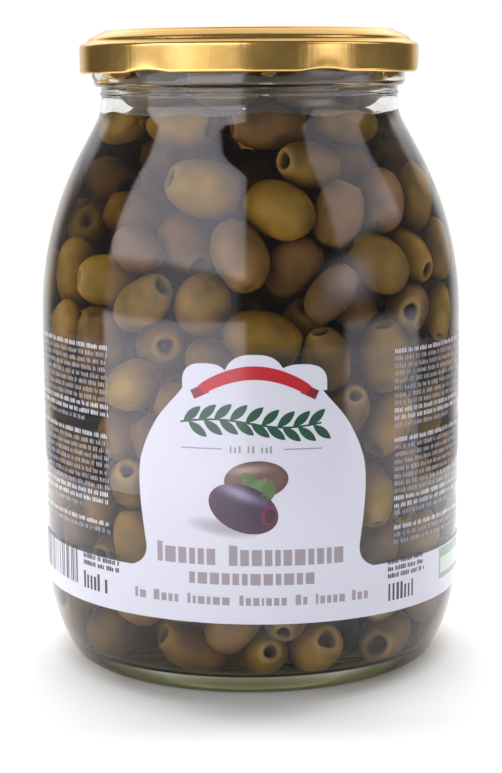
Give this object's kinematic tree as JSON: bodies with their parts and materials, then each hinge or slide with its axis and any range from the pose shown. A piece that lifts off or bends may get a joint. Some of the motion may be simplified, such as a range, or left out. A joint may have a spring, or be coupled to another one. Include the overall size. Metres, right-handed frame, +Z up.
{
  "type": "jar of olives",
  "caption": "Tall clear glass jar of pitted brown olives in oil, with a gold twist-off lid and a clear wrap label printed with a white arch and band.",
  "frame": {"origin": "centre of the jar's foot, on the surface it stands on", "axes": "+Z up along the jar's axis, the label's front towards -Y"},
  "size_m": [0.108, 0.108, 0.1601],
  "materials": {
    "jar_glass": "clear polished flint glass, faintly green in the thick base",
    "lid_metal": "gold lacquered tinplate, satin, with fine handling scratches",
    "label_film": "clear self-adhesive film with opaque white printed fields",
    "oil": "clear golden-green olive oil",
    "olive": "smooth oiled olive skin, golden brown to purple brown"
  },
  "bodies": {
    "root": {"jar": "jar_glass", "lid": "lid_metal", "label": "label_film", "oil": "oil", "olives": "olive"}
  },
  "joints": []
}
